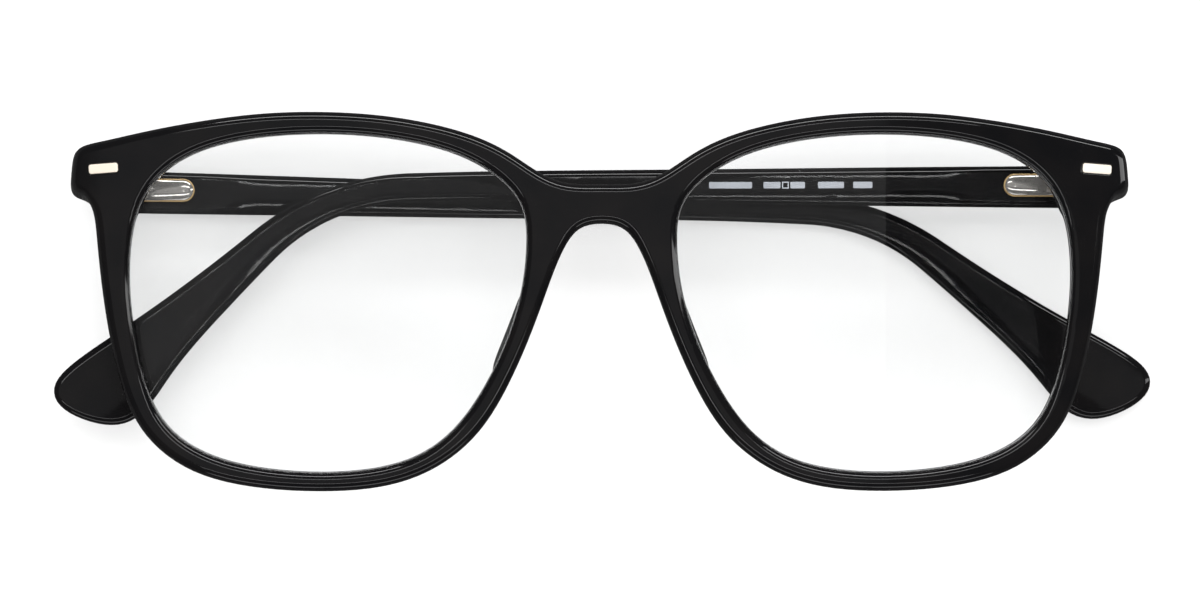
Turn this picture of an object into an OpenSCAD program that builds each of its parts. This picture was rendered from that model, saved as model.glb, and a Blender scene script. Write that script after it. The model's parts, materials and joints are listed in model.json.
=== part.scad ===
// Folding eyeglasses: a black acetate full-rim frame with spring hinges, modelled folded and lying
// on the wearer's right temple, front face up.
// +X runs to the wearer's left, +Y to the top of the frame, +Z up from the table. Millimetres.

/* [Size] */
// Width of one lens (the first number of the size marking)
lens_w = 52; // [50:0.5:54]
// Height of one lens
lens_h = 44.4; // [42:0.2:46]
// Distance between the lenses (the second number of the size marking)
bridge_w = 18; // [17:0.5:20]
// Length of a temple along its middle line, butt to tip (the third number of the size marking)
temple_len = 145; // [143:0.5:147]

/* [Front] */
// Thickness of the rims and the bridge, front to back
rim_t = 4.2; // [3.8:0.1:4.6]
// Radius of the front's face in plan
face_r = 300; // [260:10:400]
// How far each end piece stands behind the rims
end_block_t = 1.2; // [0.8:0.1:1.6]
// Slope of the mitre where the temple's butt meets the end piece
mitre_angle = 20; // [10:1:30]

/* [Lenses] */
// Thickness of a plano demo lens
lens_t = 1.6; // [1.2:0.1:2.0]
// Depth of the lens groove in the rim
groove_depth = 0.6; // [0.4:0.1:0.8]

/* [Temples] */
// Thickness of a temple at its hinge
temple_t = 4; // [3.8:0.1:4.2]
// Thickness of a temple from the bend to the tip
tip_t = 3.4; // [3:0.1:3.6]
// Radius of the bend behind the ear, on the middle line
bend_r = 30; // [26:1:34]
// Bend of the wearer's right temple, in degrees
bend_right = 33.5; // [30:0.5:40]
// Bend of the wearer's left temple, in degrees
bend_left = 40; // [34:0.5:42]
// Droop of the wearer's right temple from its hinge, in degrees
droop_right = 1.5; // [0:0.1:2]
// Droop of the wearer's left temple from its hinge, in degrees
droop_left = 0.2; // [0:0.1:2]
// Width of the flattened steel core wire in each temple
core_w = 1.6; // [1.2:0.1:1.8]
// Thickness of the core wire
core_t = 0.9; // [0.8:0.1:1]

/* [Fold] */
// Angle between the front and the folded right temple, which lies under the left one
fold_gap_right = 1.7; // [1.6:0.1:3]
// Angle by which the folded left temple passes the parallel, towards the front
fold_over_left = 2.2; // [2:0.1:2.4]
// Height of the right hinge above the middle of the lenses
hinge_y_right = 14.6; // [14.4:0.1:15]
// Height of the left hinge above the middle of the lenses
hinge_y_left = 15.3; // [14.8:0.1:15.4]

/* [Spring hinge] */
// Outer diameter of the knuckles
knuckle_d = 2.8; // [2.6:0.1:3]
// Diameter of the hinge screw's shank
screw_d = 1.1; // [1:0.1:1.2]
// Travel of the spring-loaded slider
slide_travel = 1.2; // [0.8:0.1:1.4]
// Height of the spring housing
housing_h = 3; // [2.8:0.1:3.2]
// Turns of the coil spring
spring_turns = 7; // [5:1:8]

/* [Hidden] */
$fn = 48;
eps = 0.01;

// The reference outlines below are drawn for a 52 x 44.4 lens and an 18 bridge.
function fit_x(x) = x <= 9 ? x * bridge_w / 18 : bridge_w / 2 + (x - 9) * lens_w / 52;
function fit_point(p) = [fit_x(p.x), p.y * lens_h / 44.4];

// Control points of the rim's opening, wearer's left eye, counter-clockwise from the nose.
rim_points = [
    [9.5, 8.2], [9.9, 2.5], [11.6, -3.9], [14.6, -10.4], [18.7, -16.6], [24.3, -20.4], [32, -21.8],
    [41, -21.7], [50, -20.1], [56.2, -16.2], [58.9, -10], [60.3, -2.5], [60.8, 4.5], [60, 11.6],
    [56.9, 16.5], [51.6, 19.7], [44, 21.3], [35, 21.7], [26, 21], [17.8, 19], [12.3, 15.5],
    [9.8, 12.1]
];

// Control points of the front's outline, wearer's left half, from the bridge's top edge, round
// the end piece and the rim, to the bridge's underside.
front_points = [
    [0, 15.1], [4.4, 14.9], [7.9, 16.3], [11.5, 19], [15.4, 21], [20.5, 22.6], [27.5, 23.9],
    [35, 24.4], [43, 24.3], [50.5, 23.4], [58, 22.1], [64, 20.7], [67.2, 20.2], [68.3, 19.2],
    [68.5, 16.8], [68.7, 14.6], [68.2, 13.3], [66.4, 13.2], [65.2, 11.9], [64.9, 9], [64.5, 4.5],
    [63.8, -1], [62.7, -7], [60.9, -13.4], [58, -18.1], [52.6, -22], [45, -23.8], [36, -24.3],
    [28, -23.8], [21.9, -21.8], [17, -18.3], [13.8, -14.2], [11.3, -9.4], [9.3, -4.8], [7.5, 0],
    [6, 4.4], [4.1, 8.5], [2.2, 9.9]
];
bridge_underside = [0, 10.1];

// A closed cubic B-spline through the area of its control points.
function spline_point(a, b, c, d, t) =
    (pow(1 - t, 3) * a + (3 * pow(t, 3) - 6 * pow(t, 2) + 4) * b
    + (-3 * pow(t, 3) + 3 * pow(t, 2) + 3 * t + 1) * c + pow(t, 3) * d) / 6;
function spline_loop(points, steps) = let (count = len(points)) [
    for (i = [0 : count - 1], k = [0 : steps - 1])
        spline_point(points[i], points[(i + 1) % count], points[(i + 2) % count],
                     points[(i + 3) % count], k / steps)
];
// A loop moved outwards by a distance; the loop runs counter-clockwise.
function grown_loop(loop, distance) = let (count = len(loop)) [
    for (i = [0 : count - 1])
        let (run = loop[(i + 1) % count] - loop[(i + count - 1) % count])
            loop[i] + distance * [run.y, -run.x] / norm(run)
];

rim_loop = spline_loop([for (p = rim_points) fit_point(p)], 4);
lens_loop = grown_loop(rim_loop, groove_depth);
half = [for (p = front_points) fit_point(p)];
front_loop = spline_loop(concat(
    half, [bridge_underside], [for (i = [len(half) - 1 : -1 : 1]) [-half[i].x, half[i].y]]
), 3);

// The front's own frame: z = 0 is the back of the rims at the hinge screws.
butt_x = fit_x(64.3);
hinge_clear = 1.9;
hinge_x = butt_x - hinge_clear;
hinge_z = -end_block_t - hinge_clear;
function hinge_y(side) = side > 0 ? hinge_y_left : hinge_y_right;
back_r = face_r - rim_t;
curve_z = -sqrt(pow(back_r, 2) - pow(butt_x, 2));
front_reach = 90;
curve_fn = 600;

// The hinge lies this far above the temple's outer face, which rests on the table.
hinge_rise = hinge_clear + temple_t;
rest_shift_z = hinge_rise + hinge_x * sin(fold_gap_right) - hinge_z * cos(fold_gap_right);
// The right temple reaches out further than the left one, so the middle of the folded glasses is
// this far towards its tip.
centre_shift = 1.1;

// The temple's own frame: x along the temple from the hinge screw, y up, z towards the head.
// Points of its outline as distance along the middle line and offset from it.
temple_points = [
    [-5, 2.65], [-5, 2.6], [0, 2.55], [13, 2.5], [28, 2.4], [50, 2.2], [75, 2.1], [86, 1.8],
    [95, 1.6], [104, 1.6], [111, 1.7], [118, 2], [125, 2.5], [131, 3.2], [136.4, 3.8],
    [140.7, 3.6], [142.2, 0.8], [140.2, -3.7], [137, -7.1], [132.6, -7.1], [128, -5.5], [122, -4.4],
    [116, -3.7], [110, -3], [104, -2.5], [95, -2.1], [86, -1.9], [75, -1.8], [50, -2.3],
    [28, -2.55], [13, -2.8], [0, -2.95], [-5, -3], [-5, -3.05]
];
bend_start_left = 87;
bend_start_right = 90;
function fit_length(l) = l < 60 ? l : l + temple_len - 145;
// The place of a point that lies l along the middle line and w off it.
function bent(l, w, start, bend) =
    let (arc = bend_r * bend * PI / 180, turn = min(max((l - start) / bend_r * 180 / PI, 0), bend))
    let (run = max(l - start - arc, 0), r = bend_r)
        [min(l, start) + r * sin(turn) + run * cos(turn) + w * sin(turn),
         r * (cos(turn) - 1) - run * sin(turn) + w * cos(turn)];
function temple_loop(start, bend) = [
    for (p = spline_loop(temple_points, 3)) bent(fit_length(p.x), p.y, fit_length(start), bend)
];
edge_step = 0.5;
butt_gap = 0.1;
taper_start = 25;
taper_end = 95;

// The spring housing and what runs in it.
housing_start = 1.7;
housing_end = 9.7;
housing_top = -hinge_clear + 0.55;
housing_floor = -hinge_clear - 2;
bore_r = 0.95;
bore_len = 6.5;
rod_r = 0.45;
rod_hole_r = 0.5;
rod_z = (housing_top + housing_floor) / 2;
housing_wall = 0.7;
stop_len = 0.9;
stop_r = 0.85;
spring_r = 0.7;
spring_wire_r = 0.13;
spring_gap = 0.15;
// Length of the spring when the slider is drawn right out.
closed_spring = 3.1;
stop_start = housing_start + housing_wall + 2 * spring_gap + closed_spring + slide_travel;
neck_half = 0.75;
neck_end = 1.5;
slot_half = 0.9;

// The knuckles, counted along the screw from the middle of the hinge.
middle_knuckle = 0.8;
knuckle_gap = 0.05;
outer_knuckle = 2.2;
screw_hole_r = screw_d / 2 + 0.05;
head_r = 1.05;
head_t = 0.5;
slot_w = 0.35;

acetate_black = [0.06, 0.06, 0.07];
lens_clear = [0.85, 0.92, 0.95, 0.35];
pale_gold = [0.88, 0.78, 0.62];
steel_grey = [0.72, 0.73, 0.75];
spring_grey = [0.5, 0.52, 0.55];

// Places the front, which leans by fold_gap_right because it lies on the right temple.
module place_front() {
    translate([-centre_shift, 0, rest_shift_z])
        rotate([0, -fold_gap_right, 0])
            children();
}
// Places something that belongs to the right (side = -1) or left (side = 1) half of the front.
// It is drawn on the right half, with the hinge on the -X side.
module front_side(side) {
    place_front()
        mirror([side > 0 ? 1 : 0, 0, 0])
            children();
}
// Places something drawn in a temple's own frame.
module temple_side(side) {
    front_side(side)
        translate([-hinge_x, hinge_y(side), hinge_z])
            rotate([0, side > 0 ? -fold_over_left : fold_gap_right, 0])
                children();
}
// A cylinder along Y whose wall is a face of the curved front.
module curve_solid(r) {
    translate([0, front_reach / 2, curve_z])
        rotate([90, 0, 0])
            cylinder(r = r, h = front_reach, $fn = curve_fn);
}
// The part of a prism between two of the front's curved faces.
module curved_plate(outer_r, inner_r) {
    intersection() {
        difference() {
            curve_solid(outer_r);
            curve_solid(inner_r);
        }
        translate([0, 0, -10])
            linear_extrude(40)
                children();
    }
}

// The block behind an end piece, which carries the hinge.
module end_block() {
    block_x = fit_x(58.6);
    difference() {
        translate([0, 0, -end_block_t])
            linear_extrude(rim_t)
                intersection() {
                    polygon(front_loop);
                    translate([-front_reach, 11.6])
                        square([front_reach - block_x, 12]);
                }
        difference() {
            translate([0, 0, 10])
                cube([200, 90, 40], center = true);
            curve_solid(back_r + rim_t / 2);
        }
        mitre_cut();
    }
}
// The slope at the end piece's back, from the butt's inner edge outwards.
module mitre_cut() {
    translate([-butt_x, 0, -end_block_t])
        rotate([0, mitre_angle, 0])
            translate([-20, -front_reach / 2, -20])
                cube([20, front_reach, 20]);
}
hinge_plate = [5, 5, 0.9];
module plate_box(side, extra) {
    translate([-hinge_x - 1.6, hinge_y(side) - hinge_plate.y / 2, -end_block_t - extra])
        cube([hinge_plate.x, hinge_plate.y, hinge_plate.z + extra]);
}
plaque = [3.8, 1.2, 0.9];
plaque_pos = [63.9, 17.2];
plaque_turn = 4;
plaque_proud = 0.12;
module plaque_outline() {
    corner = 0.25;
    inner = [plaque.x / 2 - corner, plaque.y / 2 - corner];
    translate([-fit_x(plaque_pos.x), plaque_pos.y])
        rotate(plaque_turn) {
            square([plaque.x, 2 * inner.y], center = true);
            square([2 * inner.x, plaque.y], center = true);
            for (x = [-1, 1], y = [-1, 1])
                translate([x * inner.x, y * inner.y])
                    circle(r = corner, $fn = 24);
        }
}
lens_outer_r = face_r - 1.3;
module lens_solid() {
    curved_plate(lens_outer_r, lens_outer_r - lens_t)
        mirror([1, 0, 0])
            polygon(lens_loop);
}

module front_frame() {
    color(acetate_black)
        difference() {
            union() {
                place_front()
                    curved_plate(face_r, back_r)
                        polygon(front_loop);
                for (side = [-1, 1])
                    front_side(side)
                        end_block();
            }
            for (side = [-1, 1])
                front_side(side) {
                    translate([0, 0, -20])
                        linear_extrude(60)
                            mirror([1, 0, 0])
                                polygon(rim_loop);
                    lens_solid();
                    plate_box(side, 1);
                    mitre_cut();
                    curved_plate(face_r + 1, face_r - plaque.z)
                        plaque_outline();
                }
        }
}
module lens(side) {
    color(lens_clear)
        front_side(side)
            lens_solid();
}
// A solid pad glued to the back of the nasal rim, its bearing face sloped like the nose.
pad_points = [
    [-7.1, 3.6], [-8.6, 3.8], [-9.8, 1.4], [-11.4, -3], [-13.2, -7.4], [-14.4, -10.6],
    [-13.6, -11.6], [-12.2, -10], [-10.3, -6.2], [-8.4, -1.2]
];
pad_depth = 4.6;
pad_slope = 32;
module nose_pad(side) {
    color(acetate_black)
        front_side(side)
            difference() {
                translate([0, 0, 7 - pad_depth])
                    linear_extrude(pad_depth)
                        polygon(spline_loop(pad_points, 3));
                curve_solid_outside();
                translate([-8.8, 0, 7 - pad_depth])
                    rotate([0, pad_slope, 20])
                        translate([0, -20, -10])
                            cube([20, 40, 20]);
            }
}
// Everything from the back of the rims forwards.
module curve_solid_outside() {
    difference() {
        translate([-30, -30, -1])
            cube([60, 60, 30]);
        curve_solid(back_r);
    }
}
module plaque_part(side) {
    color(pale_gold)
        front_side(side)
            curved_plate(face_r + plaque_proud, face_r - plaque.z)
                plaque_outline();
}

module front_hinge(side) {
    arm_half = 1.2;
    near = middle_knuckle + knuckle_gap;
    color(steel_grey)
        front_side(side)
            difference() {
                union() {
                    plate_box(side, 0);
                    translate([-hinge_x, hinge_y(side), hinge_z])
                        for (low = [near, -outer_knuckle]) {
                            translate([-arm_half, low, 0])
                                cube([2 * arm_half, outer_knuckle - near, hinge_clear + eps]);
                            translate([0, low, 0])
                                rotate([-90, 0, 0])
                                    cylinder(d = knuckle_d, h = outer_knuckle - near);
                        }
                }
                mitre_cut();
                translate([-hinge_x, hinge_y(side) - 5, hinge_z])
                    rotate([-90, 0, 0])
                        cylinder(d = screw_d, h = 10, $fn = 32);
            }
}
module hinge_screw(side) {
    color(pale_gold)
        front_side(side)
            translate([-hinge_x, hinge_y(side), hinge_z])
                rotate([-90, 0, 0])
                    difference() {
                        union() {
                            translate([0, 0, -outer_knuckle])
                                cylinder(d = screw_d, h = 2 * outer_knuckle, $fn = 32);
                            translate([0, 0, outer_knuckle])
                                cylinder(r = head_r, h = head_t);
                        }
                        translate([-2, -slot_w / 2, outer_knuckle + head_t / 2])
                            cube([4, slot_w, head_t]);
                    }
}

// The middle knuckle with its neck, and the rod that runs in the housing.
module slider(side) {
    color(steel_grey)
        temple_side(side) {
            difference() {
                union() {
                    rotate([-90, 0, 0])
                        translate([0, 0, -middle_knuckle])
                            cylinder(d = knuckle_d, h = 2 * middle_knuckle);
                    translate([0.2, -neck_half, rod_z - 0.7])
                        cube([neck_end - 0.2, 2 * neck_half, -rod_z + 0.9]);
                }
                rotate([-90, 0, 0])
                    translate([0, 0, -3])
                        cylinder(r = screw_hole_r, h = 6, $fn = 32);
            }
            translate([neck_end - 0.3, 0, rod_z])
                rotate([0, 90, 0])
                    cylinder(r = rod_r, h = stop_start + stop_len - neck_end + 0.3, $fn = 32);
        }
}
module slider_stop(side) {
    color(steel_grey)
        temple_side(side)
            translate([stop_start, 0, rod_z])
                rotate([0, 90, 0])
                    difference() {
                        cylinder(r = stop_r, h = stop_len, $fn = 32);
                        translate([0, 0, -eps])
                            cylinder(r = rod_r, h = stop_len + 2 * eps, $fn = 32);
                    }
}
// A wire of a few sides, swept along a helix about the rod.
module coil_spring(side) {
    sides = 6;
    steps = spring_turns * 12;
    start = housing_start + housing_wall + spring_gap;
    length = stop_start - spring_gap - start;
    ring = function (i)
        let (turn = 360 * spring_turns * i / steps, along = start + length * i / steps) [
            for (k = [0 : sides - 1])
                let (r = spring_r + spring_wire_r * cos(360 * k / sides))
                    [along + spring_wire_r * sin(360 * k / sides), r * cos(turn),
                     rod_z + r * sin(turn)]
        ];
    color(spring_grey)
        temple_side(side)
            polyhedron(
                points = [for (i = [0 : steps]) each ring(i)],
                faces = concat(
                    [[for (k = [0 : sides - 1]) k]],
                    [for (i = [0 : steps - 1], k = [0 : sides - 1])
                        [i * sides + k, (i + 1) * sides + k,
                         (i + 1) * sides + (k + 1) % sides, i * sides + (k + 1) % sides]],
                    [[for (k = [sides - 1 : -1 : 0]) steps * sides + k]]
                )
            );
}
// The outer form of the spring housing: a bar with a round far end.
module housing_form() {
    end_r = housing_h / 2;
    translate([0, 0, housing_floor])
        linear_extrude(housing_top - housing_floor) {
            translate([housing_start, -end_r])
                square([housing_end - end_r - housing_start, housing_h]);
            translate([housing_end - end_r, 0])
                circle(r = end_r);
        }
}
module spring_housing(side) {
    color(pale_gold)
        temple_side(side)
            difference() {
                housing_form();
                translate([housing_start + housing_wall, 0, rod_z])
                    rotate([0, 90, 0])
                        cylinder(r = bore_r, h = bore_len, $fn = 32);
                translate([housing_start - 1, 0, rod_z])
                    rotate([0, 90, 0])
                        cylinder(r = rod_hole_r, h = 3, $fn = 32);
            }
}

core_z = -hinge_clear - temple_t / 2 - 0.1;
core_start = 11;
core_end = 132;
core_step = 3;
// The flattened steel wire in a temple: straight, round the bend, and on towards the tip.
module core_form(start, bend) {
    stops = [for (l = [core_start : core_step : core_end]) fit_length(l)];
    side_line = function (w) [for (l = stops) bent(l, w, fit_length(start), bend)];
    back_line = side_line(core_w / 2);
    translate([0, 0, core_z - core_t / 2])
        linear_extrude(core_t)
            polygon(concat(
                side_line(-core_w / 2), [for (i = [len(stops) - 1 : -1 : 0]) back_line[i]]
            ));
}
module core_wire(side) {
    left = side > 0;
    color(steel_grey)
        temple_side(side)
            rotate(left ? -droop_left : -droop_right)
                core_form(left ? bend_start_left : bend_start_right, left ? bend_left : bend_right);
}
// The side view of a temple: how its inner face tapers, and the mitre at its butt.
module temple_profile() {
    outer = -hinge_clear - temple_t;
    butt = -hinge_clear + butt_gap;
    polygon([
        [butt, -hinge_clear], [taper_start, -hinge_clear], [taper_end, outer + tip_t],
        [160, outer + tip_t], [160, outer], [butt - temple_t * tan(mitre_angle), outer]
    ]);
}
// A temple's plate, its outer edge stepped in where the real one is rounded. The temple's loop
// runs clockwise, so a positive distance draws it in.
module temple_plate(start, bend) {
    loop = temple_loop(start, bend);
    translate([0, 0, -hinge_clear - temple_t]) {
        linear_extrude(edge_step)
            polygon(grown_loop(loop, edge_step));
        translate([0, 0, edge_step])
            linear_extrude(temple_t - edge_step)
                polygon(loop);
    }
}
module temple(side) {
    left = side > 0;
    start = left ? bend_start_left : bend_start_right;
    bend = left ? bend_left : bend_right;
    droop = left ? droop_left : droop_right;
    color(acetate_black)
        temple_side(side)
            difference() {
                intersection() {
                    rotate(-droop)
                        temple_plate(start, bend);
                    translate([0, 60, 0])
                        rotate([90, 0, 0])
                            linear_extrude(120)
                                temple_profile();
                }
                housing_form();
                translate([-8, -slot_half, rod_z - 0.9])
                    cube([8 + housing_start, 2 * slot_half, 6]);
                rotate(-droop)
                    core_form(start, bend);
            }
}

front_frame();
lens(-1);  // lens_right
lens(1);  // lens_left
nose_pad(-1);  // nose_pad_right
nose_pad(1);  // nose_pad_left
plaque_part(-1);  // plaque_right
plaque_part(1);  // plaque_left
front_hinge(-1);  // front_hinge_right
front_hinge(1);  // front_hinge_left
hinge_screw(-1);  // hinge_screw_right
hinge_screw(1);  // hinge_screw_left
slider(-1);  // slider_right
slider(1);  // slider_left
slider_stop(-1);  // slider_stop_right
slider_stop(1);  // slider_stop_left
coil_spring(-1);  // coil_spring_right
coil_spring(1);  // coil_spring_left
spring_housing(-1);  // spring_housing_right
spring_housing(1);  // spring_housing_left
temple(-1);  // temple_right
temple(1);  // temple_left
core_wire(-1);  // core_wire_right
core_wire(1);  // core_wire_left
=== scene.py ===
# %% [markdown]
# # A pair of folded black acetate glasses
# The frame, the hinges and every joint come from the imported CAD model, which is loaded first and never
# moved. What is made here is what the eye meets: polished acetate with soft edges, metal, lenses.
# The CAD's box is kept.

# %% Load the frame
import json
import math

import bmesh
import bpy
from mathutils import Matrix, Vector


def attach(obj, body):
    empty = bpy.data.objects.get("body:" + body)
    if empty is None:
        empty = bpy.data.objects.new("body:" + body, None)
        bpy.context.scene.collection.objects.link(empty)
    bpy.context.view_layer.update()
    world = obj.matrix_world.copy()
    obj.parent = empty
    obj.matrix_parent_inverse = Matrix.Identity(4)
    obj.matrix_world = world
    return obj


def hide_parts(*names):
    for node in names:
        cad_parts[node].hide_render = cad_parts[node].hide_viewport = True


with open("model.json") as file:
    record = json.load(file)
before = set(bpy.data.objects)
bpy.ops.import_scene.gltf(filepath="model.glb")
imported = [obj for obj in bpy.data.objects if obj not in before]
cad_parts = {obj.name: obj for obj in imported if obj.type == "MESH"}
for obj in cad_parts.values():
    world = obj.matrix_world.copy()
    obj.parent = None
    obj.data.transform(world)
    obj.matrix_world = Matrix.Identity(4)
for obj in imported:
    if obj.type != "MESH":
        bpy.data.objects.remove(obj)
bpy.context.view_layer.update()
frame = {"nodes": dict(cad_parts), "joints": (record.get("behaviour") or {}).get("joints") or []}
MM = 0.001
joint = {j["name"]: j for j in frame["joints"]}

# %% [markdown]
# ## Where the front and the temples lie
# A front is drawn flat on a table with its middle at zero, and a temple is drawn along its own hinge.
# Three matrices then carry the drawings to where the CAD has them. The two hinge pins give the
# front's place and its small lean, because one temple lies under the other when both are folded.

# %% Matrices for the front and for each temple
hinge_out = 62.4
hinge_back = 3.1
hinge_clear = 1.9
fold = {
    "right": Vector(joint["fold_right"]["pos_m"]) / MM,
    "left": Vector(joint["fold_left"]["pos_m"]) / MM,
}
span = fold["left"] - fold["right"]
lean = math.atan2(span.z, span.x)
middle = (fold["left"] + fold["right"]) / 2
lean_turn = Matrix.Rotation(-lean, 4, "Y")
front_at = Vector((middle.x, 0, middle.z)) - lean_turn @ Vector((0, 0, -hinge_back))
front_place = Matrix.Translation(front_at) @ lean_turn
past_parallel = math.radians(2.2)
mirror_x = Matrix.Scale(-1, 4, Vector((1, 0, 0)))
temple_place = {
    "right": Matrix.Translation(fold["right"]),
    "left": Matrix.Translation(fold["left"])
    @ lean_turn
    @ Matrix.Rotation(past_parallel, 4, "Y")
    @ mirror_x,
}
to_metres = Matrix.Scale(MM, 4)
print("lean of the front", round(math.degrees(lean), 2), "degrees; its middle at", front_at)

# %% [markdown]
# ## Outlines
# A frame maker draws a rim with a few points and a smooth line through their area. A closed cubic
# B-spline does the same: it has no corners, its bends are even, and a point moves only its own stretch.
# The points are the CAD's own, so the soft model keeps the hard model's outline.

# %% A smooth closed line, and a line moved off it
def smooth_line(points, steps):
    count = len(points)
    line = []
    for i in range(count):
        a, b, c, d = (Vector(points[(i + k) % count]) for k in range(4))
        for k in range(steps):
            t = k / steps
            inner = (3 * t**3 - 6 * t**2 + 4) * b + (-3 * t**3 + 3 * t**2 + 3 * t + 1) * c
            line.append(((1 - t) ** 3 * a + inner + t**3 * d) / 6)
    return line


def grown(line, distance):
    count = len(line)
    out = []
    for i, p in enumerate(line):
        run = (line[(i + 1) % count] - line[i - 1]).normalized()
        out.append(p + distance * Vector((run.y, -run.x)))
    return out


rim_points = [
    (9.5, 8.2), (9.9, 2.5), (11.6, -3.9), (14.6, -10.4), (18.7, -16.6), (24.3, -20.4), (32, -21.8),
    (41, -21.7), (50, -20.1), (56.2, -16.2), (58.9, -10), (60.3, -2.5), (60.8, 4.5), (60, 11.6),
    (56.9, 16.5), (51.6, 19.7), (44, 21.3), (35, 21.7), (26, 21), (17.8, 19), (12.3, 15.5),
    (9.8, 12.1),
]
front_points = [
    (0, 15.1), (4.4, 14.9), (7.9, 16.3), (11.5, 19), (15.4, 21), (20.5, 22.6), (27.5, 23.9),
    (35, 24.4), (43, 24.3), (50.5, 23.4), (58, 22.1), (64, 20.7), (67.2, 20.2), (68.3, 19.2),
    (68.5, 16.8), (68.7, 14.6), (68.2, 13.3), (66.4, 13.2), (65.2, 11.9), (64.9, 9), (64.5, 4.5),
    (63.8, -1), (62.7, -7), (60.9, -13.4), (58, -18.1), (52.6, -22), (45, -23.8), (36, -24.3),
    (28, -23.8), (21.9, -21.8), (17, -18.3), (13.8, -14.2), (11.3, -9.4), (9.3, -4.8), (7.5, 0),
    (6, 4.4), (4.1, 8.5), (2.2, 9.9),
]
temple_points = [
    (-5, 2.65), (-5, 2.6), (0, 2.55), (13, 2.5), (28, 2.4), (50, 2.2), (75, 2.1), (86, 1.8),
    (95, 1.6), (104, 1.6), (111, 1.7), (118, 2), (125, 2.5), (131, 3.2), (136.4, 3.8),
    (140.7, 3.6), (142.2, 0.8), (140.2, -3.7), (137, -7.1), (132.6, -7.1), (128, -5.5), (122, -4.4),
    (116, -3.7), (110, -3), (104, -2.5), (95, -2.1), (86, -1.9), (75, -1.8), (50, -2.3),
    (28, -2.55), (13, -2.8), (0, -2.95), (-5, -3), (-5, -3.05),
]
pad_points = [
    (-7.1, 3.6), (-8.6, 3.8), (-9.8, 1.4), (-11.4, -3), (-13.2, -7.4), (-14.4, -10.6),
    (-13.6, -11.6), (-12.2, -10), (-10.3, -6.2), (-8.4, -1.2),
]
mirrored = [(-x, y) for x, y in front_points[:0:-1]]
front_line = smooth_line(front_points + [(0, 10.1)] + mirrored, 5)
rim_line = smooth_line(rim_points, 6)
print("points along the front", len(front_line), "and along one rim", len(rim_line))

# %% [markdown]
# ## Small tools
# Every part below is made the same way a part is cut from sheet: an outline is filled, the sheet is
# given its thickness, and its edges are rounded over. The rounding is a row of narrow insets, each a
# little further in and a little higher, along a quarter of a circle. Unlike one wide bevel it leaves
# the flat face flat, because a last narrow ring holds the face's shading away from the edge.

# %% Filling an outline, thickening it, rounding it over
def add_line(bm, line, z):
    verts = [bm.verts.new((p.x, p.y, z)) for p in line]
    count = len(verts)
    return [bm.edges.new((verts[i], verts[(i + 1) % count])) for i in range(count)]


def filled(bm, edges):
    made = bmesh.ops.triangle_fill(bm, use_beauty=True, edges=edges, normal=(0, 0, 1))
    return [g for g in made["geom"] if isinstance(g, bmesh.types.BMFace)]


def raised(bm, faces, height):
    made = bmesh.ops.extrude_face_region(bm, geom=faces)["geom"]
    tops = [g for g in made if isinstance(g, bmesh.types.BMFace)]
    verts = [g for g in made if isinstance(g, bmesh.types.BMVert)]
    bmesh.ops.translate(bm, verts=verts, vec=(0, 0, height))
    return tops


def inset(bm, faces, width, height):
    bmesh.ops.inset_region(
        bm, faces=faces, use_boundary=True, use_even_offset=True, thickness=width, depth=height
    )


def round_over(bm, faces, width, height, steps, hold=0.08):
    for k in range(steps):
        a = math.pi / 2 * k / steps
        b = math.pi / 2 * (k + 1) / steps
        inset(bm, faces, width * (math.cos(a) - math.cos(b)), height * (math.sin(b) - math.sin(a)))
    if hold:
        inset(bm, faces, hold, 0)


def slice_at(bm, normal, places, faces=None):
    for place in places:
        chosen = bm.faces[:] if faces is None else [f for f in faces if f.is_valid]
        around = {e for f in chosen for e in f.edges} | {v for f in chosen for v in f.verts}
        bmesh.ops.bisect_plane(
            bm, geom=chosen + list(around), dist=1e-5, plane_co=Vector(normal) * place, plane_no=normal
        )


def ease(value, low, high):
    t = min(max((value - low) / (high - low), 0), 1)
    return t * t * (3 - 2 * t)


# %% [markdown]
# A finished mesh is turned the right way out, its hard corners are marked, and it is handed over
# as an object that sits at zero, with its place in its points, as the CAD's own nodes do.

# %% Handing a mesh over as a piece
def make_piece(name, bm, place, crease=38):
    bmesh.ops.remove_doubles(bm, verts=bm.verts[:], dist=1e-4)
    bmesh.ops.transform(bm, matrix=to_metres @ place, verts=bm.verts[:])
    bmesh.ops.recalc_face_normals(bm, faces=bm.faces[:])
    bm.normal_update()
    for face in bm.faces:
        face.smooth = True
    for edge in bm.edges:
        edge.smooth = edge.calc_face_angle(0) < math.radians(crease)
    mesh = bpy.data.meshes.new(name)
    bm.to_mesh(mesh)
    bm.free()
    piece = bpy.data.objects.new(name, mesh)
    bpy.context.scene.collection.objects.link(piece)
    print(name, len(mesh.polygons), "faces")
    return piece


def for_side(side):
    return front_place @ (mirror_x if side == "left" else Matrix())


# %% [markdown]
# ## The front
# On the real thing the front is milled from a 4.2 mm sheet of acetate, pressed to a shallow curve,
# and tumbled for days until its edges are soft. The same order works here. The flat sheet gets its
# two openings, a wall and rounded edges first, because outlines are easy to fill while they are flat.
# Bending comes last: the sheet is sliced across every few millimetres, so that it can bend.

# %% The flat sheet with its rims
sheet_t = 4.2
face_r = 300
back_r = face_r - sheet_t
butt = 64.3
curve_z = -math.sqrt(back_r**2 - butt**2)
front_round = 1.05
back_round = 0.55

front = bmesh.new()
sheet_edges = add_line(front, front_line, back_round)
for turn in (1, -1):
    sheet_edges += add_line(front, [Vector((turn * p.x, p.y)) for p in rim_line], back_round)
under = filled(front, sheet_edges)
top = raised(front, under, sheet_t - front_round - back_round)
print("the sheet has", len(top), "faces on each side")

# %% [markdown]
# The lens sits in a V groove in each rim's wall. Two cuts mark its lips and one its bottom, and the
# bottom line is pushed 0.6 mm into the acetate. It has to be cut before the edges are rounded,
# while the wall is still one band of upright faces.

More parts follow.
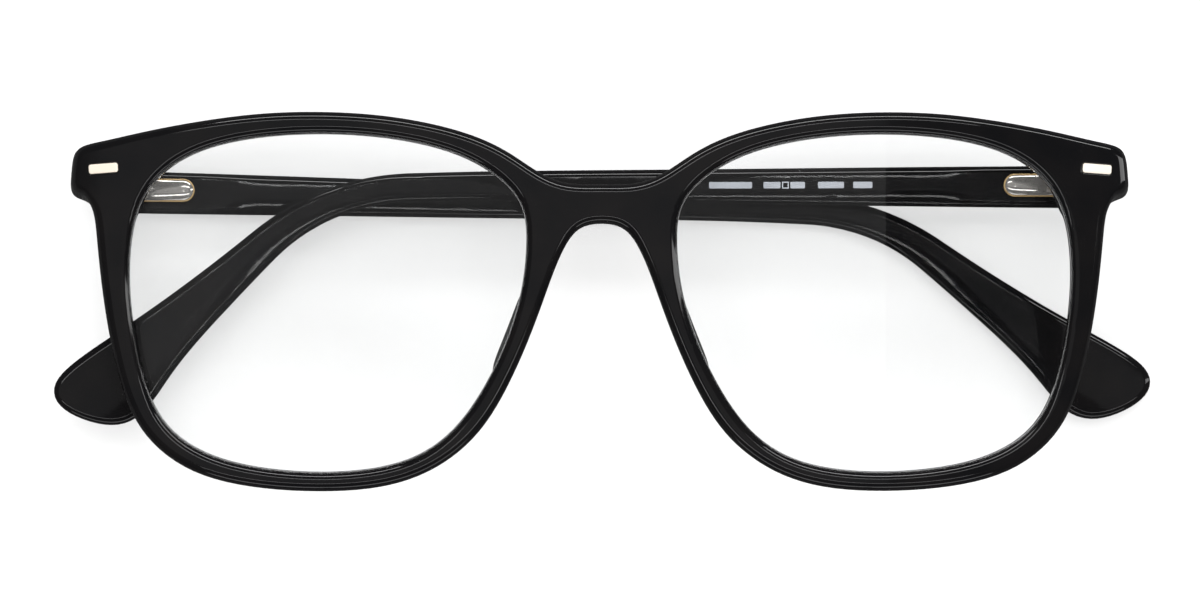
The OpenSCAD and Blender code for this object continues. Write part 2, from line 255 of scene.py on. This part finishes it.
# %% The lens grooves
groove_depth = 0.6
groove_half = 0.75
lens_mid = 2.1


def rim_wall(bm):
    found = []
    for face in bm.faces:
        c = face.calc_center_median()
        inwards = Vector((math.copysign(35, c.x), 0, 0)) - Vector((c.x, c.y, 0))
        upright = abs(face.normal.z) < 0.1
        if upright and 8 < abs(c.x) < 62 and abs(c.y) < 23 and face.normal.dot(inwards) > 0:
            found.append(face)
    return found


front.normal_update()
for offset in (-groove_half, 0, groove_half):
    front.normal_update()
    slice_at(front, (0, 0, 1), [sheet_t - lens_mid + offset], rim_wall(front))
front.normal_update()
bottoms = {
    v for f in rim_wall(front) for v in f.verts if abs(v.co.z - sheet_t + lens_mid) < 1e-4
}
for v in bottoms:
    v.co -= v.normal.normalized() * groove_depth
print("points along the groove bottoms", len(bottoms))

# %% [markdown]
# The front edge is tumbled rounder than the back one. The face then gets two shallow beds for the
# metal plaques, and the back gets a bed for each hinge plate: the flat is opened, filled again
# round the bed's outline, and the bed is let in.

# %% Rounded edges, plaque beds and hinge beds
def box_line(centre, size, corner, turn=0, steps=5):
    line = []
    for k in range(4):
        sx, sy = ((1, 1), (-1, 1), (-1, -1), (1, -1))[k]
        at = Vector((sx * (size[0] / 2 - corner), sy * (size[1] / 2 - corner)))
        for i in range(steps + 1):
            a = math.pi / 2 * (k + i / steps)
            line.append(at + corner * Vector((math.cos(a), math.sin(a))))
    spin = Matrix.Rotation(turn, 2)
    return [spin @ p + Vector(centre) for p in line]


def open_beds(bm, faces, lines, z):
    rim = [e for f in faces for e in f.edges if sum(g in faces for g in e.link_faces) == 1]
    bmesh.ops.delete(bm, geom=list(faces), context="FACES")
    beds = []
    for line in lines:
        edges = add_line(bm, line, z)
        rim += edges
        beds.append(edges)
    filled(bm, rim)
    made = [bmesh.ops.contextual_create(bm, geom=edges)["faces"] for edges in beds]
    return [f for faces_made in made for f in faces_made]


plaque_at = (63.9, 17.2)
plaque_size = (3.8, 1.2)
plaque_turn = math.radians(4)
plate_at = {"right": (-61.5, fold["right"].y), "left": (61.5, fold["left"].y)}
plate_size = (5, 5)
round_over(front, top, front_round, front_round, 6)
round_over(front, under, back_round, back_round, 4)
bed_size = (plaque_size[0] + 0.5, plaque_size[1] + 0.5)
top_beds = [
    box_line((turn * plaque_at[0], plaque_at[1]), bed_size, 0.45, -turn * plaque_turn)
    for turn in (1, -1)
]
beds = open_beds(front, set(top), top_beds, sheet_t)
inset(front, beds, 0.04, 0)
inset(front, beds, 0.12, -0.06)
inset(front, beds, 0.05, -0.09)
inset(front, beds, 0.01, -0.5)
plate_beds = [box_line(at, plate_size, 0.4) for at in plate_at.values()]
beds = open_beds(front, set(under), plate_beds, 0)
bmesh.ops.recalc_face_normals(front, faces=front.faces[:])
inset(front, beds, 0.04, 0)
inset(front, beds, 0.01, -0.6)
print("faces before the sheet is sliced", len(front.faces))

# %% [markdown]
# Now the sheet is bent to a 300 mm radius. Each point keeps its distance from the face, and the back
# drops to a flat lug behind each end piece, where the hinge is let in. The end piece's outer wall also
# leans: it is wider at the back than at the face, which gives it the bright bevel seen from above.

# %% Bending the sheet, lugs and mitred ends
lug_z = -1.2
lug_x = (57.6, 59.2)
lug_y = (10.6, 12.2)
side_flare = 0.55
foot_flare = 0.9


def bent_front(p):
    wide = abs(p.x)
    draft = ease(p.z, 0.6, sheet_t)
    side_lean = side_flare * ease(wide, 64.5, 68.5) * ease(p.y, 10.5, 13.5) * draft
    foot_lean = foot_flare * ease(wide, 65, 67.5) * ease(-p.y, -16.5, -13.5) * ease(p.y, 11, 13) * draft
    x = wide - side_lean
    face_z = curve_z + math.sqrt(face_r**2 - x**2)
    rim_back = curve_z + math.sqrt(back_r**2 - x**2)
    lug = ease(x, *lug_x) * ease(p.y, *lug_y)
    back_z = rim_back + (lug_z - rim_back) * lug
    half = sheet_t / 2
    if p.z >= half:
        z = face_z - (sheet_t - p.z)
    else:
        z = back_z + (face_z - half - back_z) * p.z / half
    return Vector((math.copysign(x, p.x), p.y + foot_lean, z))


slice_at(front, (1, 0, 0), [2.3 * k for k in range(-29, 30)])
slice_at(front, (1, 0, 0), [turn * x for turn in (1, -1) for x in (57.9, 58.3, 58.7, 59.1, 61, 64)])
for height in (10.55, 10.95, 11.35, 11.72, 12.13):
    lug_faces = [f for f in front.faces if abs(f.calc_center_median().x) > 55]
    slice_at(front, (0, 1, 0), [height], lug_faces)
for v in front.verts:
    v.co = bent_front(v.co)
slope = math.radians(20)
for turn in (1, -1):
    cut_from = Vector((turn * butt, 0, lug_z))
    cut_normal = Vector((turn * math.sin(slope), 0, -math.cos(slope)))
    whole = front.verts[:] + front.edges[:] + front.faces[:]
    cut = bmesh.ops.bisect_plane(
        front, geom=whole, dist=1e-5, plane_co=cut_from, plane_no=cut_normal, clear_outer=True
    )
    rim = [g for g in cut["geom_cut"] if isinstance(g, bmesh.types.BMEdge)]
    bmesh.ops.triangle_fill(front, use_beauty=True, edges=rim, normal=cut_normal)
acetate_front = make_piece("acetate_front", front, front_place)
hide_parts("front_frame")
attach(acetate_front, "front")

# %% [markdown]
# ## Nose pads
# On an acetate front the pads are small blocks of the same material, glued behind the nasal rims and
# filed to the slope of a nose. A pad is an outline with a wall and a well rounded end, which is then
# made narrower and leaned away from the nose the further it stands back.

# %% Nose pads
pad_depth = 4.8


def make_pad(side):
    bm = bmesh.new()
    base = filled(bm, add_line(bm, smooth_line(pad_points, 5), 0))
    end = raised(bm, base, pad_depth - 0.6)
    round_over(bm, end, 0.45, 0.6, 4, hold=0)
    slice_at(bm, (0, 0, 1), [0.8, 1.6, 2.4])
    slice_at(bm, (0, 1, 0), [-9, -6, -3, 0])
    centre = Vector((-10.6, -3.6))
    for v in bm.verts:
        depth = v.co.z / pad_depth
        flat = centre + (v.co.xy - centre) * (1 - 0.28 * depth) + Vector((-0.75, 0.3)) * depth
        back = curve_z + math.sqrt(back_r**2 - flat.x**2)
        v.co = (flat.x, flat.y, back + 0.5 - v.co.z)
    pad = make_piece("soft_nose_pad_" + side, bm, for_side(side))
    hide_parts("nose_pad_" + side)
    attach(pad, "front")
    return pad


pads = [make_pad(side) for side in ("right", "left")]

# %% [markdown]
# ## Lenses
# A demo lens is a thin curved sheet whose edge is ground to a V that snaps into the groove. The
# V is one leaning inset on each side of a narrow land, and the sheet follows the front's own curve.

# %% Lenses
lens_t = 1.4
lens_bevel = 0.5


def make_lens(side):
    bm = bmesh.new()
    line = grown([Vector((-p.x, p.y)) for p in rim_line], -groove_depth + 0.06)
    land = filled(bm, add_line(bm, line, -0.06))
    upper = raised(bm, land, 0.12)
    bmesh.ops.recalc_face_normals(bm, faces=bm.faces[:])
    inset(bm, upper, lens_bevel, lens_t / 2 - 0.06)
    inset(bm, land, lens_bevel, lens_t / 2 - 0.06)
    inset(bm, upper, 0.05, 0)
    inset(bm, land, 0.05, 0)
    slice_at(bm, (1, 0, 0), [-2.5 * k for k in range(3, 26)])
    for v in bm.verts:
        v.co.z += curve_z + math.sqrt((face_r - lens_mid) ** 2 - v.co.x**2)
    lens = make_piece("clear_lens_" + side, bm, for_side(side), crease=25)
    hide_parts("lens_" + side)
    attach(lens, "front")
    return lens


lenses = [make_lens(side) for side in ("right", "left")]

# %% [markdown]
# ## Plaques
# The pale gold plaques are stamped from thin strip: their edge is crisp but not sharp and their face
# is very slightly crowned. They stand a tenth of a millimetre proud of the acetate.

# %% Plaques
def make_plaque(side):
    bm = bmesh.new()
    outline = box_line((-plaque_at[0], plaque_at[1]), plaque_size, 0.3, plaque_turn)
    base = filled(bm, add_line(bm, outline, -0.6))
    face = raised(bm, base, 0.62)
    round_over(bm, face, 0.09, 0.07, 4, hold=0)
    inset(bm, face, 0.08, 0.01)
    inset(bm, face, 0.08, 0.004)
    for v in bm.verts:
        v.co.z += curve_z + math.sqrt(face_r**2 - v.co.x**2)
    plate = make_piece("gold_plaque_" + side, bm, for_side(side))
    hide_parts("plaque_" + side)
    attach(plate, "front")
    return plate


plaques = [make_plaque(side) for side in ("right", "left")]

# %% [markdown]
# ## Front hinges
# The front half of a five-part hinge is a plate let into the acetate with two knuckles standing on it.
# Barrels and arms are plain turned and milled shapes, so they start from a cone and a cube and get
# a fine bevel each.

# %% Front hinges
knuckle_r = 1.4
knuckle_from = 0.85
knuckle_to = 2.2


def make_front_hinge(side):
    bm = bmesh.new()
    y = fold[side].y
    pin = Vector((-hinge_out, y, -hinge_back))
    inside = (plate_size[0] - 0.12, plate_size[1] - 0.12)
    centre = (-abs(plate_at[side][0]), y)
    base = filled(bm, add_line(bm, box_line(centre, inside, 0.35), lug_z + 0.5))
    plate_face = raised(bm, base, -0.45)
    round_over(bm, plate_face, 0.1, 0.1, 3)
    for turn in (1, -1):
        length = knuckle_to - knuckle_from
        centre = pin + Vector((0, turn * (knuckle_from + length / 2), 0))
        stand = Matrix.Translation(centre) @ Matrix.Rotation(math.pi / 2, 4, "X")
        barrel = bmesh.ops.create_cone(
            bm, cap_ends=True, segments=48, radius1=knuckle_r, radius2=knuckle_r, depth=length, matrix=stand
        )["verts"]
        ends = {e for v in barrel for e in v.link_edges if e.calc_face_angle(0) > 1}
        bmesh.ops.bevel(
            bm, geom=list(ends), offset=0.12, segments=3, profile=0.5, affect="EDGES", material=-1
        )
        arm_size = Matrix.Diagonal((2.3, length - 0.04, 1.9, 1))
        arm_place = Matrix.Translation(centre + Vector((0, 0, 0.95)))
        arm = bmesh.ops.create_cube(bm, size=1, matrix=arm_place @ arm_size)["verts"]
        sides = {e for v in arm for e in v.link_edges}
        bmesh.ops.bevel(
            bm, geom=list(sides), offset=0.1, segments=2, profile=0.5, affect="EDGES", material=-1
        )
    hinge = make_piece("hinge_plate_" + side, bm, for_side(side))
    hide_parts("front_hinge_" + side)
    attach(hinge, "front")
    return hinge


hinges = [make_front_hinge(side) for side in ("right", "left")]

# %% [markdown]
# ## Temples
# A temple is cut from 4 mm sheet too. It is drawn straight, as distance along its middle line and
# distance off it, so that rounding, the slot for the spring housing and the slices can be made
# on a straight bar. Then it is thinned towards the tip and bent round the ear, as a fitter does with
# heat. The butt is cut off at 20 degrees, to meet the end piece.

# %% Temples
temple_t = 4
tip_t = 3.4
bend_r = 30
crown = 0.3
shape = {
    "right": {"start": 90, "bend": 33.5, "droop": 1.5},
    "left": {"start": 87, "bend": 40, "droop": 0.2},
}
housing_from = 1.7
housing_to = 9.7
housing_half = 1.5
housing_floor = -hinge_clear - 2
housing_top = -hinge_clear + 0.55


def bent_temple(p, side):
    fit = shape[side]
    bend = math.radians(fit["bend"])
    turn = min(max((p.x - fit["start"]) / bend_r, 0), bend)
    run = max(p.x - fit["start"] - bend_r * bend, 0)
    x = min(p.x, fit["start"]) + bend_r * math.sin(turn) + run * math.cos(turn) + p.y * math.sin(turn)
    y = bend_r * (math.cos(turn) - 1) - run * math.sin(turn) + p.y * math.cos(turn)
    thin = 1 - (1 - tip_t / temple_t) * ease(p.x, 20, 100)
    across = (p.y + 1.7 * ease(p.x, 105, 135)) / (2.2 + 3.3 * ease(p.x, 108, 137))
    bow = crown * min(across * across, 1) * ease(p.x, 11, 18) * ease(p.z, 2.5, temple_t)
    place = Vector((x, y, p.z * thin - bow - hinge_clear - temple_t))
    return Matrix.Rotation(-math.radians(fit["droop"]), 3, "Z") @ place


def slot_line():
    gap = 0.05
    half = housing_half + gap
    end = housing_to - housing_half
    arc = [math.pi / 2 * (k / 8 - 1) for k in range(17)]
    near = housing_from - gap
    line = [Vector((-3.5, -0.95)), Vector((near, -0.95)), Vector((near, -half))]
    line += [Vector((end + half * math.cos(a), half * math.sin(a))) for a in arc]
    return line + [Vector((near, half)), Vector((near, 0.95)), Vector((-3.5, 0.95))]


def make_temple(side):
    bm = bmesh.new()
    line = smooth_line(temple_points, 5)[::-1]
    outer = filled(bm, add_line(bm, line, 0.95))
    inner = raised(bm, outer, temple_t - 1.8)
    bmesh.ops.recalc_face_normals(bm, faces=bm.faces[:])
    round_over(bm, outer, 0.95, 0.95, 6)
    round_over(bm, inner, 0.85, 0.85, 6, hold=0.04)
    slot = open_beds(bm, set(inner), [slot_line()], temple_t)
    bmesh.ops.recalc_face_normals(bm, faces=bm.faces[:])
    inset(bm, slot, 0.03, -0.03)
    inset(bm, slot, 0.005, -1.95)
    slice_at(bm, (1, 0, 0), [2.5 * k for k in range(5, 57)])
    for height in [1.2 * k for k in range(-5, 3)]:
        skin = [f for f in bm.faces if f.calc_center_median().x > 12 and f.calc_center_median().z > 3.9]
        slice_at(bm, (0, 1, 0), [height], skin)
    slope_normal = Vector((-math.cos(slope), 0, math.sin(slope)))
    cut_from = Vector((-hinge_clear + 0.1, 0, temple_t))
    whole = bm.verts[:] + bm.edges[:] + bm.faces[:]
    cut = bmesh.ops.bisect_plane(
        bm, geom=whole, dist=1e-5, plane_co=cut_from, plane_no=slope_normal, clear_outer=True
    )
    rim = [g for g in cut["geom_cut"] if isinstance(g, bmesh.types.BMEdge)]
    bmesh.ops.triangle_fill(bm, use_beauty=True, edges=rim, normal=slope_normal)
    for v in bm.verts:
        v.co = bent_temple(v.co, side)
    temple = make_piece("acetate_temple_" + side, bm, temple_place[side])
    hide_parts("temple_" + side)
    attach(temple, "temple_" + side)
    return temple


temples = [make_temple(side) for side in ("right", "left")]

# %% [markdown]
# ## Spring housings
# A spring housing is a drawn metal shell with a long crowned back. A narrow plated flange shows round
# it as a thin gold line. The crown is the same row of insets as the acetate's edges, only much
# wider than it is high.

# %% Spring housings
def make_housing(side):
    bm = bmesh.new()
    end = housing_to - housing_half
    arc = [math.pi / 2 * (k / 10 - 1) for k in range(21)]
    line = [Vector((end + housing_half * math.cos(a), housing_half * math.sin(a))) for a in arc]
    line += [Vector((housing_from, housing_half)), Vector((housing_from, -housing_half))]
    base = filled(bm, add_line(bm, line, housing_floor + 0.05))
    flange = raised(bm, base, 2.0)
    bmesh.ops.recalc_face_normals(bm, faces=bm.faces[:])
    round_over(bm, flange, 0.06, 0.06, 3, hold=0.1)
    before = set(bm.faces)
    round_over(bm, flange, 1.25, housing_top - housing_floor - 2.13, 10, hold=0)
    silver = (set(bm.faces) - before) | set(flange)
    for face in silver:
        face.material_index = 1
    housing = make_piece("housing_shell_" + side, bm, temple_place[side], crease=50)
    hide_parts("spring_housing_" + side)
    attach(housing, "temple_" + side)
    return housing


housings = [make_housing(side) for side in ("right", "left")]

# %% [markdown]
# ## Pad print
# Makers print sizes on a temple's inner side in pale ink. Here there are only plain bars and one open
# square, about a hundredth of a millimetre thick, so that nothing can be read.

# %% Printed bars on the left temple
print_t = 0.015
bar_half = 0.42
bars = ((26.9, 2.5), (30.6, 3.4), (35.7, 1.9), (38.9, 2.2), (42.6, 5.6))


def make_print():
    bm = bmesh.new()
    for start, length in bars:
        outline = box_line((start + length / 2, 0.1), (length, 2 * bar_half), 0.15)
        raised(bm, filled(bm, add_line(bm, outline, temple_t)), print_t)
    outer = box_line((38.25, 0.1), (0.9, 0.9), 0.05, steps=2)
    inner = box_line((38.25, 0.1), (0.6, 0.6), 0.03, steps=2)
    edges = add_line(bm, outer, temple_t) + add_line(bm, inner, temple_t)
    raised(bm, filled(bm, edges), print_t)
    for v in bm.verts:
        v.co = bent_temple(v.co, "left")
    ink = make_piece("pad_print", bm, temple_place["left"])
    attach(ink, "temple_left")
    return ink


ink = make_print()

# %% [markdown]
# ## Shared effects
# Two effects come back in several finishes, so each is a node group with its own sockets. One is the
# faint waviness and grain that tumbling and plating leave, as a height. The other is handling: a soft
# haze in patches and fine hair scratches, as a roughness.

# %% Node groups
def new_group(name, inputs, outputs):
    group = bpy.data.node_groups.new(name, "ShaderNodeTree")
    for label, value in inputs:
        socket = group.interface.new_socket(label, in_out="INPUT", socket_type="NodeSocketFloat")
        socket.default_value = value
    for label in outputs:
        group.interface.new_socket(label, in_out="OUTPUT", socket_type="NodeSocketFloat")
    return group, group.nodes.new("NodeGroupInput"), group.nodes.new("NodeGroupOutput")


def math_node(tree, operation, first, second):
    node = tree.nodes.new("ShaderNodeMath")
    node.operation = operation
    for socket, value in zip(node.inputs, (first, second)):
        if isinstance(value, (int, float)):
            socket.default_value = value
        else:
            tree.links.new(value, socket)
    return node.outputs[0]


def noise(tree, coordinates, scale, detail, roughness=0.5):
    node = tree.nodes.new("ShaderNodeTexNoise")
    node.inputs["Detail"].default_value = detail
    node.inputs["Roughness"].default_value = roughness
    tree.links.new(coordinates, node.inputs["Vector"])
    if isinstance(scale, (int, float)):
        node.inputs["Scale"].default_value = scale
    else:
        tree.links.new(scale, node.inputs["Scale"])
    return node.outputs["Fac"]


def build_surface_group():
    inputs = [("Wave scale", 300), ("Grain scale", 9000), ("Grain share", 0.1)]
    group, given, result = new_group("tumbled_surface", inputs, ["Height"])
    where = group.nodes.new("ShaderNodeTexCoord").outputs["Object"]
    waves = noise(group, where, given.outputs["Wave scale"], 2)
    grain = noise(group, where, given.outputs["Grain scale"], 3)
    share = math_node(group, "MULTIPLY", grain, given.outputs["Grain share"])
    group.links.new(math_node(group, "ADD", waves, share), result.inputs["Height"])
    return group


def build_handling_group():
    inputs = [("Base", 0.08), ("Haze", 0.06), ("Scratch", 0.1)]
    group, given, result = new_group("handling", inputs, ["Roughness"])
    where = group.nodes.new("ShaderNodeTexCoord").outputs["Object"]
    patches = noise(group, where, 90, 4, 0.6)
    soft = math_node(group, "MULTIPLY", math_node(group, "SUBTRACT", patches, 0.45), given.outputs["Haze"])
    stretch = group.nodes.new("ShaderNodeMapping")
    stretch.inputs["Rotation"].default_value = (0.3, 0.2, 0.6)
    stretch.inputs["Scale"].default_value = (0.05, 1.6, 1.6)
    group.links.new(where, stretch.inputs["Vector"])
    hairs = noise(group, stretch.outputs["Vector"], 6000, 2)
    line = math_node(group, "GREATER_THAN", hairs, 0.69)
    worn = math_node(group, "GREATER_THAN", patches, 0.52)
    marks = math_node(group, "MULTIPLY", math_node(group, "MULTIPLY", line, worn), given.outputs["Scratch"])
    total = math_node(group, "ADD", math_node(group, "ADD", given.outputs["Base"], soft), marks)
    group.links.new(math_node(group, "MAXIMUM", total, 0.02), result.inputs["Roughness"])
    return group


surface_group = build_surface_group()
handling_group = build_handling_group()
print("node groups", surface_group.name, handling_group.name)

# %% [markdown]
# ## Finishes
# Every finish is one Principled shader with its own values on its own sockets. The groups feed its
# roughness and its bump, and a slow noise varies its colour a little, as pigment and plating do.

# %% A finish from its values
def finish(name, dark, light, metallic, handling, surface, bump, **extra):
    material = bpy.data.materials.new(name)
    material.use_nodes = True
    tree = material.node_tree
    shader = tree.nodes["Principled BSDF"]
    shader.inputs["Metallic"].default_value = metallic
    for label, value in extra.items():
        shader.inputs[label.replace("_", " ")].default_value = value
    where = tree.nodes.new("ShaderNodeTexCoord").outputs["Object"]
    ramp = tree.nodes.new("ShaderNodeValToRGB")
    ramp.color_ramp.elements[0].position = 0.35
    ramp.color_ramp.elements[1].position = 0.65
    ramp.color_ramp.elements[0].color = (*dark, 1)
    ramp.color_ramp.elements[1].color = (*light, 1)
    tree.links.new(noise(tree, where, 140, 3), ramp.inputs["Fac"])
    tree.links.new(ramp.outputs["Color"], shader.inputs["Base Color"])
    for group, values, target in ((handling_group, handling, "Roughness"), (surface_group, surface, None)):
        node = tree.nodes.new("ShaderNodeGroup")
        node.node_tree = group
        for label, value in values.items():
            node.inputs[label].default_value = value
        if target:
            tree.links.new(node.outputs[0], shader.inputs[target])
        else:
            lump = tree.nodes.new("ShaderNodeBump")
            lump.inputs["Strength"].default_value = 1
            lump.inputs["Distance"].default_value = bump
            tree.links.new(node.outputs[0], lump.inputs["Height"])
            tree.links.new(lump.outputs["Normal"], shader.inputs["Normal"])
    return material


# %% [markdown]
# Black acetate is the finish that matters most. Its colour is close to nothing, so what shows is its
# polish: a sharp reflection with a very slight waviness, patches of haze, and hairline marks.

# %% Acetate, metals and ink
acetate = finish(
    "black_acetate", (0.0045, 0.0045, 0.005), (0.0065, 0.006, 0.0062), 0,
    {"Base": 0.06, "Haze": 0.12, "Scratch": 0.12},
    {"Wave scale": 260, "Grain scale": 4000, "Grain share": 0.02}, 0.000006, IOR=1.48,
)
pale_gold = finish(
    "pale_gold_plate", (0.86, 0.77, 0.65), (0.93, 0.86, 0.76), 0.3,
    {"Base": 0.38, "Haze": 0.15, "Scratch": 0.15},
    {"Wave scale": 900, "Grain scale": 20000, "Grain share": 0.6}, 0.000003,
)
gold_rim = finish(
    "gold_flange", (0.74, 0.5, 0.22), (0.86, 0.62, 0.32), 0.5,
    {"Base": 0.2, "Haze": 0.1, "Scratch": 0.1},
    {"Wave scale": 900, "Grain scale": 20000, "Grain share": 0.4}, 0.000002,
)
bright_nickel = finish(
    "bright_nickel", (0.8, 0.77, 0.73), (0.95, 0.92, 0.88), 0.8,
    {"Base": 0.09, "Haze": 0.12, "Scratch": 0.2},
    {"Wave scale": 1100, "Grain scale": 16000, "Grain share": 0.25}, 0.000006,
)
hinge_steel = finish(
    "tumbled_steel", (0.52, 0.52, 0.52), (0.66, 0.65, 0.64), 0.7,
    {"Base": 0.26, "Haze": 0.2, "Scratch": 0.25},
    {"Wave scale": 1200, "Grain scale": 15000, "Grain share": 0.5}, 0.000006,
)
spring_steel = finish(
    "drawn_wire", (0.34, 0.35, 0.37), (0.48, 0.49, 0.51), 0.7,
    {"Base": 0.22, "Haze": 0.2, "Scratch": 0.3},
    {"Wave scale": 2500, "Grain scale": 18000, "Grain share": 0.5}, 0.000004,
)
print_ink = finish(
    "print_ink", (0.4, 0.42, 0.46), (0.52, 0.55, 0.6), 0,
    {"Base": 0.55, "Haze": 0.2, "Scratch": 0},
    {"Wave scale": 1500, "Grain scale": 22000, "Grain share": 0.8}, 0.000004,
)

# %% [markdown]
# A demo lens is clear acrylic. Light has to reach the table through it, so for shadow rays the shader
# gives way to a transparent one. A faint haze in the roughness stands for dust.

# %% Lens material
def lens_finish():
    material = bpy.data.materials.new("clear_lens")
    material.use_nodes = True
    tree = material.node_tree
    shader = tree.nodes["Principled BSDF"]
    shader.inputs["Base Color"].default_value = (0.985, 0.99, 0.99, 1)
    shader.inputs["Transmission Weight"].default_value = 1
    shader.inputs["IOR"].default_value = 1.49
    shader.inputs["Specular IOR Level"].default_value = 0.08
    where = tree.nodes.new("ShaderNodeTexCoord").outputs["Object"]
    dust = math_node(tree, "GREATER_THAN", noise(tree, where, 2600, 1), 0.83)
    tree.links.new(math_node(tree, "MULTIPLY", dust, 0.25), shader.inputs["Roughness"])
    clear = tree.nodes.new("ShaderNodeBsdfTransparent")
    rays = tree.nodes.new("ShaderNodeLightPath")
    mix = tree.nodes.new("ShaderNodeMixShader")
    tree.links.new(rays.outputs["Is Shadow Ray"], mix.inputs["Fac"])
    tree.links.new(shader.outputs["BSDF"], mix.inputs[1])
    tree.links.new(clear.outputs["BSDF"], mix.inputs[2])
    tree.links.new(mix.outputs["Shader"], tree.nodes["Material Output"].inputs["Surface"])
    return material


lens_glass = lens_finish()

# %% [markdown]
# The new pieces take their finishes, and so do the CAD's own nodes that stay: screws, sliders, stops,
# springs and core wires. Only their material changes.

# %% Giving out the finishes
def dress(objects, *materials):
    for piece in objects:
        for material in materials:
            piece.data.materials.append(material)


dress([acetate_front, *pads, *temples], acetate)
dress(lenses, lens_glass)
dress(plaques, pale_gold)
dress(hinges, hinge_steel)
dress(housings, gold_rim, bright_nickel)
dress([ink], print_ink)
kept = {"hinge_screw": pale_gold, "slider": hinge_steel, "slider_stop": hinge_steel}
kept |= {"coil_spring": spring_steel, "core_wire": spring_steel}
for label, material in kept.items():
    for side in ("right", "left"):
        node = frame["nodes"][f"{label}_{side}"]
        for slot in node.material_slots:
            slot.material = material
print("finishes kept on the CAD nodes", sorted(kept))

# %% [markdown]
# ## Table, light and camera
# The glasses lie on a light table: a sheet of opal acrylic over a glowing panel. The sheet takes soft
# shadows, and the glow from under it keeps them pale and the ground white. It also lets the temples be
# seen when they are opened, because they then reach down through the sheet. The panel and the
# surround are hidden from mirror reflections, because polished black acetate would turn white in them.

# %% Light table and surround
opal_share = 0.45
panel_depth = 0.18


def stage_plane(name, height):
    bm = bmesh.new()
    bmesh.ops.create_grid(bm, x_segments=1, y_segments=1, size=3, matrix=Matrix.Translation((0, 0, height)))
    mesh = bpy.data.meshes.new(name)
    bm.to_mesh(mesh)
    bm.free()
    plane = bpy.data.objects.new(name, mesh)
    bpy.context.scene.collection.objects.link(plane)
    material = bpy.data.materials.new(name)
    material.use_nodes = True
    mesh.materials.append(material)
    return plane, material.node_tree


sheet, tree = stage_plane("opal_sheet", 0)
shader = tree.nodes["Principled BSDF"]
shader.inputs["Roughness"].default_value = 0.9
shader.inputs["Specular IOR Level"].default_value = 0
rays = tree.nodes.new("ShaderNodeLightPath")
# Painted shade on reflections: for mirrored rays the sheet's colour drops from pale 0.9 to dark 0.14 grey,
# so the acetate's edges reflect a darkened floor.
shade = tree.nodes.new("ShaderNodeValToRGB")
shade.color_ramp.elements[0].color = (0.9, 0.9, 0.9, 1)
shade.color_ramp.elements[1].color = (0.14, 0.14, 0.14, 1)
mirrored_ray = math_node(
    tree, "SUBTRACT", rays.outputs["Is Glossy Ray"], rays.outputs["Is Transmission Ray"]
)
tree.links.new(mirrored_ray, shade.inputs["Fac"])
tree.links.new(shade.outputs["Color"], shader.inputs["Base Color"])
clear = tree.nodes.new("ShaderNodeBsdfTransparent")
opal = tree.nodes.new("ShaderNodeMixShader")
opal.inputs["Fac"].default_value = opal_share
tree.links.new(clear.outputs["BSDF"], opal.inputs[1])
tree.links.new(shader.outputs["BSDF"], opal.inputs[2])
tree.links.new(opal.outputs["Shader"], tree.nodes["Material Output"].inputs["Surface"])

panel, tree = stage_plane("glow_panel", -panel_depth)
glow = tree.nodes.new("ShaderNodeEmission")
glow.inputs["Strength"].default_value = 1.05
tree.links.new(glow.outputs["Emission"], tree.nodes["Material Output"].inputs["Surface"])
panel.visible_diffuse = False
panel.visible_glossy = False

world = bpy.data.worlds.new("studio")
bpy.context.scene.world = world
world.use_nodes = True
world.node_tree.nodes["Background"].inputs["Color"].default_value = (1, 1, 1, 1)
world.node_tree.nodes["Background"].inputs["Strength"].default_value = 0.8
world.cycles_visibility.glossy = False
world.cycles_visibility.transmission = False
bpy.context.scene.view_settings.view_transform = "Standard"

# %% [markdown]
# Black acetate shows almost nothing but its reflections, so each soft box is placed for one of them. A dim
# long box overhead gives the grey sheen on the flats, and ends where the right end piece goes
# black. A strip beyond the top edge draws the fine line along it. Two thin lines, too far to either side
# for the flats to mirror, show as bright bands on the crowned housings and temples. The key only fills.

# %% Soft boxes
def soft_box(name, at, size, power, look=(0, 0, 0.015), glossy=True):
    data = bpy.data.lights.new(name, "AREA")
    data.shape = "RECTANGLE"
    data.size, data.size_y = size
    data.energy = power
    lamp = bpy.data.objects.new(name, data)
    lamp.location = at
    lamp.rotation_euler = (Vector(look) - Vector(at)).to_track_quat("-Z", "Y").to_euler()
    lamp.visible_glossy = glossy
    lamp.visible_transmission = glossy
    bpy.context.scene.collection.objects.link(lamp)
    return lamp


soft_box("key", (-0.1, 0.35, 0.9), (0.8, 0.6), 5, glossy=False)
soft_box("overhead_sheen", (-0.16, 0.07, 0.9), (0.92, 0.34), 0.17, look=(-0.16, 0.07, 0))
soft_box("strip_top", (0.1, 0.75, 0.5), (1.2, 0.1), 4)
soft_box("line_above", (-0.05, 0.28, 0.9), (1, 0.06), 0.9, look=(-0.05, 0, 0))
soft_box("line_below", (-0.05, -0.24, 0.9), (1, 0.05), 0.6, look=(-0.05, 0, 0))
soft_box("strip_right", (0.75, 0.1, 0.35), (0.12, 0.9), 1.2)
soft_box("low_front", (0, -0.8, 0.4), (1.2, 0.2), 1.5)

# %% [markdown]
# The camera looks almost straight down from 600 mm, a little from the left, through a long lens.

# %% Camera
camera_data = bpy.data.cameras.new("camera")
camera_data.sensor_width = 36
camera_data.lens = 140.1
camera_data.clip_start = 0.01
camera = bpy.data.objects.new("camera", camera_data)
camera.location = (-0.0291, 0.0003, 0.615)
camera.rotation_euler = (0, -0.0462, 0)
bpy.context.scene.collection.objects.link(camera)
bpy.context.scene.camera = camera
